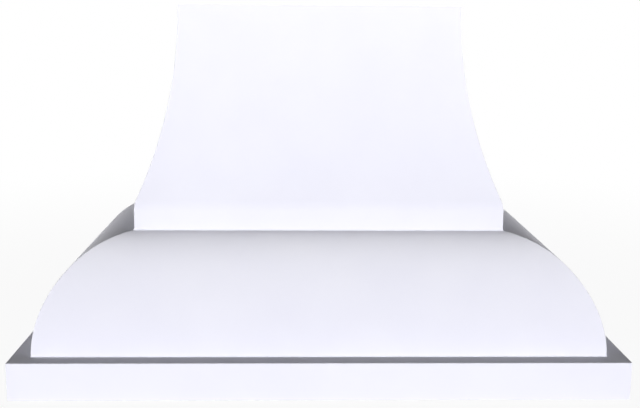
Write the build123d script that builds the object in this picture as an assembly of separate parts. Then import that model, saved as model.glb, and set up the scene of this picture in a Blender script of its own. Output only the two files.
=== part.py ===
from build123d import *
import os
from math import acos, asin, cos, degrees, radians, sin, sqrt

# Wooden range hood cover: a painted shell of boards and bent plywood on a plywood skeleton.
# It is open below for the ventilation insert, above for the duct and behind against the wall.
# X runs to the right, -Y to the front and +Z up, with the origin under the middle of the apron.
# "Inset" is the level distance in from the apron's outer face. It is the same at the front and
# at both sides, so every mitre of every ring lies in one of two upright planes.

# Outline
overall_width = 1219.0
overall_depth = 635.0
apron_height = 76.0
ledge_setback = 39.0
bell_height = 218.0
bell_run = 180.0
bell_join_slope = 45.0      # degrees from upright where the bell's two arcs meet
bell_top_slope = 86.0       # degrees from upright where the bell meets the neck
neck_height = 54.0
chimney_height = 414.0
chimney_run = 89.0          # how far the chimney's foot flares out past its top

# Boards and plywood
apron_thickness = 19.0
ledge_thickness = 19.0
ledge_rebate = 10.0         # width of the ledge board that lies in the apron's rebate
skin_thickness = 9.0
rib_thickness = 18.0
glue_line = 0.2             # between a bent skin and the edge of a rib
neck_board_thickness = 19.0
neck_board_drop = 60.0      # how far the neck boards reach down behind the bell
neck_plate_thickness = 19.0
neck_plate_width = 81.0
top_plate_thickness = 19.0
top_plate_width = 38.0
rail_thickness = 19.0
hanging_rail_height = 89.0
rail_housing = 6.0          # how far the rails' ends go into the side boards

# Skeleton
bell_rib_foot = 40.0        # length of a bell rib's foot behind the skin
bell_rib_count = 5
chimney_rib_count = 3

# Support of the ventilation insert
cleat_recess = 10.0         # from the apron's lower edge up to the cleats
cleat_thickness = 19.0
cleat_width = 30.0
glue_block_leg = 45.0

# Biscuits
biscuit_length = 53.0
biscuit_width = 19.0
biscuit_thickness = 4.0
biscuit_clearance = 0.1
biscuit_depth = 11.0        # from a board's outer face to the biscuit's middle

# Wood screws, all countersunk with a square recess
screw_shank_radius = 2.1
screw_head_radius = 4.0
screw_head_height = 2.6
screw_tip_height = 6.0
screw_length = 38.0
cleat_screw_length = 42.0
recess_side = 2.6
recess_depth = 2.0
screw_clearance = 0.1
front_cleat_screw_count = 5
side_cleat_screw_count = 3
cleat_screw_margin = 110.0  # from the end of a cleat to its first screw
rail_screw_pair = 18.0      # between the two screws in the end of a plate

# Wall fixing
stud_spacing = 406.4
wall_hole_radius = 3.5

# Heights that follow
bell_top = apron_height + bell_height
neck_top = bell_top + neck_height
overall_height = neck_top + chimney_height
ledge_underside = apron_height - ledge_thickness
neck_bottom = bell_top - neck_board_drop
neck_plate_underside = neck_top - neck_plate_thickness
top_plate_underside = overall_height - top_plate_thickness
hanging_rail_bottom = overall_height - hanging_rail_height
cleat_top = cleat_recess + cleat_thickness
lower_hole_height = (cleat_top + ledge_underside) / 2
upper_hole_height = (hanging_rail_bottom + overall_height) / 2

# Insets that follow
neck_inset = ledge_setback + bell_run
top_inset = neck_inset + chimney_run
ledge_outer_inset = apron_thickness - ledge_rebate
ledge_inner_inset = ledge_setback + skin_thickness + bell_rib_foot
neck_inner_inset = neck_inset + neck_board_thickness
neck_plate_inset = neck_inner_inset + neck_plate_width
top_plate_outer_inset = top_inset + skin_thickness
top_plate_inset = top_plate_outer_inset + top_plate_width
cleat_inner_inset = apron_thickness + cleat_width

# Places that follow
front_y = -overall_depth / 2
wall_y = overall_depth / 2
side_x = overall_width / 2
rail_front_y = wall_y - rail_thickness
front_rib_pitch = (overall_width - 2 * top_inset) / (chimney_rib_count + 1)
side_rib_y = (front_y + top_inset + wall_y) / 2

# Radii of the bell's lower and upper arcs, from its height and its run
join, top_slope = radians(bell_join_slope), radians(bell_top_slope)
lower_run, upper_run = 1 - cos(join), cos(join) - cos(top_slope)
lower_rise, upper_rise = sin(join), sin(top_slope) - sin(join)
determinant = lower_run * upper_rise - upper_run * lower_rise
bell_lower_radius = (bell_run * upper_rise - bell_height * upper_run) / determinant
bell_upper_radius = (bell_height * lower_run - bell_run * lower_rise) / determinant

# Radius of the chimney's outer face, upright at the top
chimney_radius = (chimney_run**2 + chimney_height**2) / (2 * chimney_run)

# Working planes for outlines drawn as inset and height, and the planes of the mitres
front_plane = Plane(origin=(0, front_y, 0), x_dir=(0, 1, 0), z_dir=(1, 0, 0))
left_plane = Plane(origin=(-side_x, wall_y, 0), x_dir=(1, 0, 0), z_dir=(0, -1, 0))
hip_plane = Plane(origin=(-side_x, front_y, 0), x_dir=(1, 1, 0), z_dir=(1, -1, 0))
left_mitre = Plane(origin=(-side_x, front_y, 0), z_dir=(1, -1, 0))
right_mitre = Plane(origin=(side_x, front_y, 0), z_dir=(-1, -1, 0))


def save(name, shape):
    """Write one piece, or one group of like pieces, under its name."""
    shape.label = name
    export_step(shape, f"parts/{name}.step")


def save_pair(name, left_piece):
    """Write a left-hand piece and its right-hand twin."""
    save(f"{name}_left", left_piece)
    save(f"{name}_right", right_of(left_piece))


def save_row(name, pieces):
    """Write a row of like pieces, numbered from the left."""
    for number, piece in enumerate(pieces, start=1):
        save(f"{name}_{number}", piece)


def right_of(piece):
    """The right-hand twin of a left-hand piece."""
    return mirror(piece, about=Plane.YZ)


def spread(count, pitch):
    """Evenly spaced places about zero."""
    return [(index - (count - 1) / 2) * pitch for index in range(count)]


def between(start, end, margin, count):
    """Evenly spaced places from one margin to the other."""
    pitch = (end - start - 2 * margin) / (count - 1)
    return [(start + end) / 2 + offset for offset in spread(count, pitch)]


def block(x_from, x_to, y_from, y_to, low, high):
    """A square-cut block between six planes."""
    size = Box(x_to - x_from, y_to - y_from, high - low, align=(Align.MIN, Align.MIN, Align.MIN))
    return Pos(x_from, y_from, low) * size


# Outlines in section, drawn as inset and height


def rectangle(inset_from, inset_to, low, high):
    """A board in section between two insets and two heights."""
    corners = [(inset_from, low), (inset_to, low), (inset_to, high), (inset_from, high)]
    return Polygon(*corners, align=None)


def on_arc(centre, radius, angle):
    """The point of a circle at an angle in degrees."""
    return centre[0] + radius * cos(radians(angle)), centre[1] + radius * sin(radians(angle))


def bell_outline(depth, inner_inset=neck_inset):
    """The bell in section, from a layer at this depth under its outer face in to an inset."""
    lower_centre = (ledge_setback + bell_lower_radius, apron_height)
    join_angle = 180 - bell_join_slope
    upper_centre = on_arc(lower_centre, bell_lower_radius - bell_upper_radius, join_angle)
    lower_radius = bell_lower_radius - depth
    upper_radius = bell_upper_radius - depth
    end_angle = degrees(acos((inner_inset - upper_centre[0]) / upper_radius))
    foot = (ledge_setback + depth, apron_height)
    lower_middle = on_arc(lower_centre, lower_radius, (180 + join_angle) / 2)
    meeting = on_arc(lower_centre, lower_radius, join_angle)
    upper_middle = on_arc(upper_centre, upper_radius, (join_angle + end_angle) / 2)
    end = on_arc(upper_centre, upper_radius, end_angle)
    edges = [
        ThreePointArc(foot, lower_middle, meeting),
        ThreePointArc(meeting, upper_middle, end),
        Line(end, (inner_inset, apron_height)),
        Line((inner_inset, apron_height), foot),
    ]
    return make_face(edges)


def chimney_outline(depth, inner_foot, inner_top, height):
    """The chimney in section, from a layer at this depth in to a straight inner edge."""
    centre = (top_inset - chimney_radius, overall_height)
    radius = chimney_radius + depth
    foot_angle = -degrees(asin(chimney_height / radius))
    head_angle = -degrees(asin((overall_height - height) / radius))
    foot = on_arc(centre, radius, foot_angle)
    middle = on_arc(centre, radius, (foot_angle + head_angle) / 2)
    head = on_arc(centre, radius, head_angle)
    edges = [
        ThreePointArc(foot, middle, head),
        Line(head, (inner_top, height)),
        Line((inner_top, height), (inner_foot, neck_top)),
        Line((inner_foot, neck_top), foot),
    ]
    return make_face(edges)


def front_run(outline):
    """A front member with this section, mitred at both ends."""
    member = extrude(front_plane * outline, amount=side_x, both=True)
    member = split(member, bisect_by=left_mitre, keep=Keep.TOP)
    return split(member, bisect_by=right_mitre, keep=Keep.TOP)


def left_run(outline, back_y=wall_y):
    """A left member with this section, from its mitre back to back_y."""
    member = Pos(0, back_y - wall_y, 0) * extrude(left_plane * outline, amount=overall_depth)
    return split(member, bisect_by=left_mitre, keep=Keep.BOTTOM)


def under_both_skins(outline):
    """What lies under the front skin and under the left skin alike."""
    across = extrude(front_plane * outline, amount=side_x, both=True)
    along = extrude(left_plane * outline, amount=overall_depth)
    return across & along


# Screws


def headed_body(shank_radius, head_radius, length):
    """A countersunk head and a shank along -Z, from the origin down."""
    head = Pos(0, 0, -screw_head_height / 2) * Cone(shank_radius, head_radius, screw_head_height)
    shank_align = (Align.CENTER, Align.CENTER, Align.MAX)
    shank = Cylinder(shank_radius, length - screw_head_height, align=shank_align)
    return head + Pos(0, 0, -screw_head_height) * shank


def screws(places, length=screw_length):
    """A group of screws with their heads at these places."""
    body = headed_body(screw_shank_radius, screw_head_radius, length - screw_tip_height)
    tip = Pos(0, 0, screw_tip_height / 2 - length) * Cone(0, screw_shank_radius, screw_tip_height)
    recess_align = (Align.CENTER, Align.CENTER, Align.MAX)
    screw = body + tip - Box(recess_side, recess_side, recess_depth, align=recess_align)
    return Compound(children=[place * screw for place in places])


def drilled(piece, places, length=screw_length):
    """The piece with the holes for the screws at these places."""
    shank_radius = screw_shank_radius + screw_clearance
    head_radius = screw_head_radius + screw_clearance
    hole = headed_body(shank_radius, head_radius, length + screw_clearance)
    return piece - [place * hole for place in places]


def rib_screw_places(count, inset, height, turned):
    """One upright screw in each front rib and each side rib at this inset and height."""
    spots = [(x, front_y + inset) for x in spread(count, front_rib_pitch)]
    spots += [(side * (side_x - inset), side_rib_y) for side in (-1, 1)]
    return [Pos(x, y, height) * Rot(turned, 0, 0) for x, y in spots]


def rib_foot_screw_places():
    """Up through the ledge boards into the bell ribs."""
    middle = ledge_inner_inset - bell_rib_foot / 2
    return rib_screw_places(bell_rib_count, middle, ledge_underside, 180)


def neck_plate_screw_places():
    """Up through the neck plates into the chimney ribs."""
    middle = (neck_inner_inset + neck_plate_inset) / 2
    return rib_screw_places(chimney_rib_count, middle, neck_plate_underside, 180)


def top_plate_screw_places():
    """Down through the top plates into the chimney ribs."""
    middle = (top_plate_outer_inset + top_plate_inset) / 2
    return rib_screw_places(chimney_rib_count, middle, overall_height, 0)


def plate_end_screw_places(inset, height):
    """Forward through a rail into the ends of the left and right plates."""
    spots = [side * (side_x - inset - offset) for side in (-1, 1) for offset in spread(2, rail_screw_pair)]
    return [Pos(x, wall_y, height) * Rot(-90, 0, 0) for x in spots]


def rail_screw_places():
    """Through the neck rail and the hanging rail."""
    neck_middle = (neck_inner_inset + neck_plate_inset) / 2
    top_middle = (top_plate_outer_inset + top_plate_inset) / 2
    neck_places = plate_end_screw_places(neck_middle, neck_top - neck_plate_thickness / 2)
    top_places = plate_end_screw_places(top_middle, overall_height - top_plate_thickness / 2)
    return neck_places + top_places


def cleat_screw_places():
    """Level through the liner cleats into the apron boards and the back rail."""
    height = cleat_recess + cleat_thickness / 2
    front_face_y = front_y + cleat_inner_inset
    back_face_y = rail_front_y - cleat_width
    left_face_x = -side_x + cleat_inner_inset
    cleat_end_x = side_x - apron_thickness
    places = []
    for x in between(-cleat_end_x, cleat_end_x, cleat_screw_margin, front_cleat_screw_count):
        places.append(Pos(x, front_face_y, height) * Rot(-90, 0, 0))
        places.append(Pos(x, back_face_y, height) * Rot(90, 0, 0))
    for y in between(front_face_y, back_face_y, cleat_screw_margin, side_cleat_screw_count):
        places.append(Pos(left_face_x, y, height) * Rot(0, 90, 0))
        places.append(Pos(-left_face_x, y, height) * Rot(0, -90, 0))
    return places


def with_wall_holes(rail, height):
    """The rail with one clearance hole at each of two wall studs."""
    hole_align = (Align.CENTER, Align.CENTER, Align.MIN)
    hole = Rot(90, 0, 0) * Cylinder(wall_hole_radius, rail_thickness, align=hole_align)
    return rail - [Pos(x, wall_y, height) * hole for x in spread(2, stud_spacing)]


# Biscuits across the mitres


def biscuit(clearance):
    """A biscuit lying in XY with its length along X, or the slot it sits in."""
    half_length = biscuit_length / 2 + clearance
    half_width = biscuit_width / 2 + clearance
    tip = biscuit_thickness / 2
    edges = [
        ThreePointArc((-half_length, -tip), (0, -half_width), (half_length, -tip)),
        Line((half_length, -tip), (half_length, tip)),
        ThreePointArc((half_length, tip), (0, half_width), (-half_length, tip)),
        Line((-half_length, tip), (-half_length, -tip)),
    ]
    return extrude(make_face(edges), amount=biscuit_thickness / 2 + clearance, both=True)


def on_left_mitre(inset, height, length_along, thickness_along):
    """A working plane centred on the left mitre, for one biscuit."""
    middle = (-side_x + inset, front_y + inset, height)
    return Plane(middle, x_dir=length_along, z_dir=thickness_along)


def left_biscuit_places():
    """Upright in the apron and the neck, lying flat in the ledge."""
    up, inward = (0, 0, 1), (1, 1, 0)
    ledge_middle = (ledge_outer_inset + ledge_inner_inset) / 2
    return [
        on_left_mitre(biscuit_depth, ledge_underside / 2, up, inward),
        on_left_mitre(neck_inset + biscuit_depth, (neck_bottom + neck_top) / 2, up, inward),
        on_left_mitre(ledge_middle, apron_height - ledge_thickness / 2, inward, up),
    ]


def slotted(piece):
    """The piece with its biscuit slots at the left and right mitres."""
    slots = [place * biscuit(biscuit_clearance) for place in left_biscuit_places()]
    return piece - slots - [right_of(slot) for slot in slots]


def mitre_biscuits():
    left = [place * biscuit(0) for place in left_biscuit_places()]
    return Compound(children=left + [right_of(piece) for piece in left])


# Apron: three mitred boards with a rebate for the ledge, and a rail let in at the wall


def apron_outline():
    board = rectangle(0, apron_thickness, 0, apron_height)
    rebate = rectangle(ledge_outer_inset, apron_thickness, ledge_underside, apron_height)
    return board - rebate


def apron_front():
    return drilled(slotted(front_run(apron_outline())), cleat_screw_places(), cleat_screw_length)


def apron_left():
    board = drilled(slotted(left_run(apron_outline())), cleat_screw_places(), cleat_screw_length)
    housing_x = -side_x + apron_thickness - rail_housing
    return board - block(housing_x, 0, rail_front_y, wall_y, 0, ledge_underside)


def apron_back_rail():
    half_length = side_x - apron_thickness + rail_housing
    rail = block(-half_length, half_length, rail_front_y, wall_y, 0, ledge_underside)
    rail = drilled(rail, cleat_screw_places(), cleat_screw_length)
    return with_wall_holes(rail, lower_hole_height)


def apron_glue_blocks():
    """A three-cornered block above the cleats in each inner corner of the apron."""
    inner_x = side_x - apron_thickness
    inner_front_y = front_y + apron_thickness
    height = ledge_underside - cleat_top
    front = Polygon((0, 0), (glue_block_leg, 0), (0, glue_block_leg), align=None)
    back = Polygon((0, 0), (0, -glue_block_leg), (glue_block_leg, 0), align=None)
    front_block = Pos(-inner_x, inner_front_y, cleat_top) * extrude(front, amount=height)
    back_block = Pos(-inner_x, rail_front_y, cleat_top) * extrude(back, amount=height)
    left_blocks = [front_block, back_block]
    return Compound(children=left_blocks + [right_of(piece) for piece in left_blocks])


# Liner cleats: battens round the inside of the apron


def cleat(x_from, x_to, y_from, y_to):
    batten = block(x_from, x_to, y_from, y_to, cleat_recess, cleat_top)
    return drilled(batten, cleat_screw_places(), cleat_screw_length)


def liner_cleat_front():
    end_x = side_x - apron_thickness
    return cleat(-end_x, end_x, front_y + apron_thickness, front_y + cleat_inner_inset)


def liner_cleat_back():
    end_x = side_x - apron_thickness
    return cleat(-end_x, end_x, rail_front_y - cleat_width, rail_front_y)


def liner_cleat_left():
    inner_x = -side_x + cleat_inner_inset
    front_end = front_y + cleat_inner_inset
    return cleat(inner_x - cleat_width, inner_x, front_end, rail_front_y - cleat_width)


# Ledge: three mitred boards laid flat in the apron's rebate


def ledge_outline():
    return rectangle(ledge_outer_inset, ledge_inner_inset, ledge_underside, apron_height)


def ledge_front():
    return drilled(slotted(front_run(ledge_outline())), rib_foot_screw_places())


def ledge_left():
    return drilled(slotted(left_run(ledge_outline())), rib_foot_screw_places())


# Ribs: plywood shapes under the skins, square to the front, square to the sides and on the hips


def front_ribs(outline, count, places):
    """A row of like ribs square to the front, drilled for their screws."""
    rib = extrude(front_plane * outline, amount=rib_thickness / 2, both=True)
    return [drilled(Pos(x, 0, 0) * rib, places) for x in spread(count, front_rib_pitch)]


def left_wall_rib(outline):
    """The rib that closes the left side along the wall."""
    return extrude(left_plane * outline, amount=rib_thickness)


def left_side_rib(outline, places):
    """The rib between the left hip and the wall, drilled for its screws."""
    back_y = side_rib_y + rib_thickness / 2
    return drilled(Pos(0, back_y - wall_y, 0) * left_wall_rib(outline), places)


def left_hip_slab(corners):
    """A slab on the left mitre plane, with its corners given as inset and height."""
    stretched = [(inset * sqrt(2), height) for inset, height in corners]
    outline = Polygon(*stretched, align=None)
    return extrude(hip_plane * outline, amount=rib_thickness / 2, both=True)


# Bell: bent skins, mitred along the hips, on ribs that stand on the ledge boards


def bell_skin_outline():
    return bell_outline(0) - bell_outline(skin_thickness)


def bell_rib_outline():
    foot_end = (ledge_inner_inset, apron_height)
    inside = Polygon(foot_end, (neck_inset, apron_height), (neck_inset, neck_bottom), align=None)
    return bell_outline(skin_thickness + glue_line) - inside


def bell_hip_rib():
    """The left hip rib, bevelled to both skins and notched over the corner of the neck."""
    notch_reach = neck_inset + rib_thickness
    corners = [
        (0, apron_height),
        (ledge_inner_inset, apron_height),
        (neck_inset, neck_bottom),
        (notch_reach, neck_bottom),
        (notch_reach, bell_top),
        (0, bell_top),
    ]
    section = bell_outline(skin_thickness + glue_line, notch_reach)
    neck = block(-side_x + neck_inset, 0, front_y + neck_inset, wall_y, neck_bottom, bell_top)
    return (left_hip_slab(corners) & under_both_skins(section)) - neck


# Neck: three mitred boards, a rail let in at the wall, and plates for the chimney ribs


def neck_board_outline():
    return rectangle(neck_inset, neck_inner_inset, neck_bottom, neck_top)


def neck_front():
    return slotted(front_run(neck_board_outline()))


def neck_left():
    housing_x = -side_x + neck_inner_inset - rail_housing
    housing = block(housing_x, 0, rail_front_y, wall_y, neck_bottom, neck_top)
    return slotted(left_run(neck_board_outline())) - housing


def neck_back_rail():
    half_length = side_x - neck_inner_inset + rail_housing
    rail = block(-half_length, half_length, rail_front_y, wall_y, neck_bottom, neck_top)
    return drilled(rail, rail_screw_places())


def neck_plate_outline():
    return rectangle(neck_inner_inset, neck_plate_inset, neck_plate_underside, neck_top)


def neck_plate_front():
    return drilled(front_run(neck_plate_outline()), neck_plate_screw_places())


def neck_plate_left():
    plate = left_run(neck_plate_outline(), rail_front_y)
    return drilled(plate, neck_plate_screw_places() + rail_screw_places())


# Chimney: bent skins on ribs between the neck plates and the top plates


def chimney_skin_outline():
    outer = chimney_outline(0, top_plate_inset, top_plate_inset, overall_height)
    inner = chimney_outline(skin_thickness, top_plate_inset, top_plate_inset, overall_height)
    return outer - inner


def chimney_rib_outline(height):
    return chimney_outline(skin_thickness + glue_line, neck_plate_inset, top_plate_inset, height)


def chimney_hip_rib():
    """The left hip rib, bevelled to both skins."""
    corners = [
        (0, neck_top),
        (neck_plate_inset, neck_top),
        (top_plate_inset, top_plate_underside),
        (0, top_plate_underside),
    ]
    reach = top_plate_inset + rib_thickness
    section = chimney_outline(skin_thickness + glue_line, reach, reach, top_plate_underside)
    return left_hip_slab(corners) & under_both_skins(section)


# Top: three mitred plates, and the rail at the wall that carries the cover


def top_plate_outline():
    return rectangle(top_plate_outer_inset, top_plate_inset, top_plate_underside, overall_height)


def top_plate_front():
    return drilled(front_run(top_plate_outline()), top_plate_screw_places())


def top_plate_left():
    plate = left_run(top_plate_outline(), rail_front_y)
    return drilled(plate, top_plate_screw_places() + rail_screw_places())


def hanging_rail():
    """The rail across the top of the back, its ends shaped to the side skins."""
    section = chimney_outline(skin_thickness + glue_line, side_x, side_x, overall_height)
    left_half = extrude(left_plane * section, amount=rail_thickness)
    blank = block(-side_x, side_x, rail_front_y, wall_y, hanging_rail_bottom, overall_height)
    rail = (left_half + right_of(left_half)) & blank
    return with_wall_holes(drilled(rail, rail_screw_places()), upper_hole_height)


def save_apron_and_ledge():
    save("apron_front", apron_front())
    save_pair("apron", apron_left())
    save("apron_back_rail", apron_back_rail())
    save("apron_glue_blocks", apron_glue_blocks())
    save("liner_cleat_front", liner_cleat_front())
    save("liner_cleat_back", liner_cleat_back())
    save_pair("liner_cleat", liner_cleat_left())
    save("liner_cleat_screws", screws(cleat_screw_places(), cleat_screw_length))
    save("ledge_front", ledge_front())
    save_pair("ledge", ledge_left())


def save_bell():
    rib = bell_rib_outline()
    save("bell_skin_front", front_run(bell_skin_outline()))
    save_pair("bell_skin", left_run(bell_skin_outline()))
    save_row("bell_rib_front", front_ribs(rib, bell_rib_count, rib_foot_screw_places()))
    save_pair("bell_rib_side", left_side_rib(rib, rib_foot_screw_places()))
    save_pair("bell_rib_wall", left_wall_rib(rib))
    save_pair("bell_rib_hip", bell_hip_rib())
    save("rib_foot_screws", screws(rib_foot_screw_places()))


def save_neck():
    save("neck_front", neck_front())
    save_pair("neck", neck_left())
    save("neck_back_rail", neck_back_rail())
    save("neck_plate_front", neck_plate_front())
    save_pair("neck_plate", neck_plate_left())
    save("neck_plate_screws", screws(neck_plate_screw_places()))


def save_chimney_and_top():
    rib = chimney_rib_outline(top_plate_underside)
    screw_places = neck_plate_screw_places() + top_plate_screw_places()
    save("chimney_skin_front", front_run(chimney_skin_outline()))
    save_pair("chimney_skin", left_run(chimney_skin_outline()))
    save_row("chimney_rib_front", front_ribs(rib, chimney_rib_count, screw_places))
    save_pair("chimney_rib_side", left_side_rib(rib, screw_places))
    save_pair("chimney_rib_wall", left_wall_rib(chimney_rib_outline(hanging_rail_bottom)))
    save_pair("chimney_rib_hip", chimney_hip_rib())
    save("top_plate_front", top_plate_front())
    save_pair("top_plate", top_plate_left())
    save("top_plate_screws", screws(top_plate_screw_places()))
    save("hanging_rail", hanging_rail())


def main():
    os.makedirs("parts", exist_ok=True)
    save_apron_and_ledge()
    save_bell()
    save_neck()
    save_chimney_and_top()
    save("rail_screws", screws(rail_screw_places()))
    save("mitre_biscuits", mitre_biscuits())


main()
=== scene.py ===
from math import acos, asin, cos, pi, radians, sin, sqrt

import bmesh
import bpy
from mathutils import Matrix, Vector


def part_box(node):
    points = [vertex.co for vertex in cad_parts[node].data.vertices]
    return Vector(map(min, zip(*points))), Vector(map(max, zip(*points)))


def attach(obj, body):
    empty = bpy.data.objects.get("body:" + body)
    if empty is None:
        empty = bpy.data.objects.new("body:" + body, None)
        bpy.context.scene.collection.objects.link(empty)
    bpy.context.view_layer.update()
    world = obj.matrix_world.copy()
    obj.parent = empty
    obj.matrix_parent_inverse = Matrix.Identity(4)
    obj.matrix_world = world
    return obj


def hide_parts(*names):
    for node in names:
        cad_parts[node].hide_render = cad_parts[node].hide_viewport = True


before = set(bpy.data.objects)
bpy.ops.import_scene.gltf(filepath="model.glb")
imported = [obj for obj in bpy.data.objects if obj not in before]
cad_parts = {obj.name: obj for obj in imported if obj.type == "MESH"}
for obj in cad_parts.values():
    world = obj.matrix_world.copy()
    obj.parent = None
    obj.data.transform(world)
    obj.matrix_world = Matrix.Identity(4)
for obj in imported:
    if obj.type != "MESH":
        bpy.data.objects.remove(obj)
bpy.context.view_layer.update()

# Apron. Three poplar boards 19 mm thick, mitred at the front corners, glued over biscuits and
# rebated behind the top edge for the ledge. The side boards are housed for the rail at the
# wall. Faces and edges that show are sanded and sprayed white; the rest is bare.

apron_low, apron_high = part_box("apron_front")
half_width = apron_high.x
front_y = apron_low.y
wall_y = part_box("apron_left")[1].y
apron_top = apron_high.z
apron_thickness = apron_high.y - apron_low.y
ledge_low, ledge_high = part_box("ledge_front")
rebate_inset = ledge_low.y - front_y
rebate_height = ledge_low.z
lower_edge_radius, upper_edge_radius = 0.002, 0.0012
corner_radius = 0.002
corner_steps = 5
seam = 1e-6
sharpest_smooth_bend = radians(35)
poplar_tones, poplar_ring_width = ("#ECE1C7", "#D8C9A6"), 5.5
# The ways that fibres run, in words, and the turns that bring them to X.
ways = {"X": "across", "Y": "along_the_side", "Z": "upright"}
grain_turns = {"X": (0, 0, 0), "Y": (0, 0, -pi / 2), "Z": (0, pi / 2, 0)}


def linear(srgb_hex):
    """An sRGB hex colour as linear red, green, blue and an alpha of 1."""
    channels = [int(srgb_hex[i:i + 2], 16) / 255 for i in (1, 3, 5)]
    return [c / 12.92 if c <= 0.04045 else ((c + 0.055) / 1.055) ** 2.4 for c in channels] + [1]


def wire(tree, node, inputs):
    """The node with its inputs, by place or by name, each a value, a socket or another node."""
    for key, value in inputs.items() if isinstance(inputs, dict) else enumerate(inputs):
        if isinstance(value, bpy.types.Node):
            value = value.outputs[0]
        if isinstance(value, bpy.types.NodeSocket):
            tree.links.new(value, node.inputs[key])
        else:
            node.inputs[key].default_value = value
    return node


def add(tree, kind, inputs=(), **settings):
    """A new node with its settings and its inputs."""
    node = tree.nodes.new(kind)
    for setting, value in settings.items():
        setattr(node, setting, value)
    return wire(tree, node, inputs)


def new_finish(name):
    """An empty material, its node tree, its shader and its place in the object in millimetres."""
    material = bpy.data.materials.new(name)
    material.use_nodes = True
    tree = material.node_tree
    place = add(tree, "ShaderNodeTexCoord").outputs["Object"]
    millimetres = add(tree, "ShaderNodeVectorMath", {0: place, "Scale": 1000}, operation="SCALE")
    return material, tree, tree.nodes["Principled BSDF"], millimetres


def sprayed_lacquer():
    """Sprayed low-sheen lacquer: nearly white and a little cool, with a fine orange peel, a
    slow ripple from sanding, cloudy sheen, and a thinner, greyer coat on the corners. Widths
    are in mm and depths in metres."""
    cool_white, pale_white, thin_coat = linear("#EEEEF7"), linear("#F3F3FA"), linear("#D2D1D6")
    cloud_width, rub_width, sheen_width, ripple_width, peel_width = 140, 22, 45, 60, 3.5
    ripple_depth, peel_depth = 0.00025, 0.00003
    material, tree, shader, place = new_finish("low_sheen_white_sprayed_lacquer")
    clouds = add(tree, "ShaderNodeTexNoise", {"Vector": place, "Scale": 1 / cloud_width, "Detail": 2})
    body = add(tree, "ShaderNodeMix", {0: clouds, 6: cool_white, 7: pale_white}, data_type="RGBA")
    corner = add(tree, "ShaderNodeAttribute", attribute_name="arris").outputs["Fac"]
    rubbed = add(tree, "ShaderNodeTexNoise", {"Vector": place, "Scale": 1 / rub_width, "Detail": 4})
    thin = add(tree, "ShaderNodeMapRange", {0: rubbed, 1: 0.35, 2: 0.7, 3: 0.25, 4: 0.6})
    worn = add(tree, "ShaderNodeMath", [corner, thin], operation="MULTIPLY")
    colour = add(tree, "ShaderNodeMix", {0: worn, 6: body.outputs[2], 7: thin_coat}, data_type="RGBA")
    sheen = add(tree, "ShaderNodeTexNoise", {"Vector": place, "Scale": 1 / sheen_width, "Detail": 5})
    roughness = add(tree, "ShaderNodeMapRange", {0: sheen, 1: 0.3, 2: 0.7, 3: 0.74, 4: 0.86})
    ripple = add(tree, "ShaderNodeTexNoise", {"Vector": place, "Scale": 1 / ripple_width, "Detail": 1})
    peel = add(tree, "ShaderNodeTexNoise", {"Vector": place, "Scale": 1 / peel_width, "Detail": 2})
    slow = add(tree, "ShaderNodeBump", {"Height": ripple, "Strength": 1, "Distance": ripple_depth})
    on_slow = {"Height": peel, "Strength": 1, "Distance": peel_depth, "Normal": slow}
    fine = add(tree, "ShaderNodeBump", on_slow)
    surface = {"Base Color": colour.outputs[2], "Roughness": roughness, "Normal": fine}
    wire(tree, shader, {**surface, "Diffuse Roughness": 1, "IOR": 1.45})
    return material


def drawn_out(tree, grain, length, width, **inputs):
    """A noise drawn out along the grain, with its features' length and width in mm."""
    scale = (1 / length, 1 / width, 1 / width)
    place = add(tree, "ShaderNodeMapping", {"Vector": grain, "Scale": scale})
    return add(tree, "ShaderNodeTexNoise", {"Vector": place, "Scale": 1, **inputs})


def facing_along(tree, axis):
    """How squarely a face looks along an axis, from 0 to 1."""
    normal = add(tree, "ShaderNodeNewGeometry").outputs["True Normal"]
    facing = add(tree, "ShaderNodeVectorMath", [normal, axis], operation="DOT_PRODUCT")
    return add(tree, "ShaderNodeMath", [facing.outputs["Value"]], operation="ABSOLUTE")


def bare_wood(finish, colour, relief, shades, roughnesses):
    """The material with this colour. Its fine relief sets the shade and the roughness, each from
    the hollows to the ridges, and lifts the surface."""
    relief_height = 0.00008
    material, tree, shader, _ = finish
    (dark, light), (rough, smooth) = shades, roughnesses
    shade = add(tree, "ShaderNodeMapRange", {0: relief, 1: 0.3, 2: 0.7, 3: dark, 4: light})
    shaded = add(tree, "ShaderNodeVectorMath", {0: colour, "Scale": shade}, operation="SCALE")
    roughness = add(tree, "ShaderNodeMapRange", {0: relief, 1: 0.3, 2: 0.7, 3: rough, 4: smooth})
    bump = add(tree, "ShaderNodeBump", {"Height": relief, "Strength": 1, "Distance": relief_height})
    wire(tree, shader, {"Base Color": shaded, "Roughness": roughness, "Normal": bump})
    return material


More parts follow.
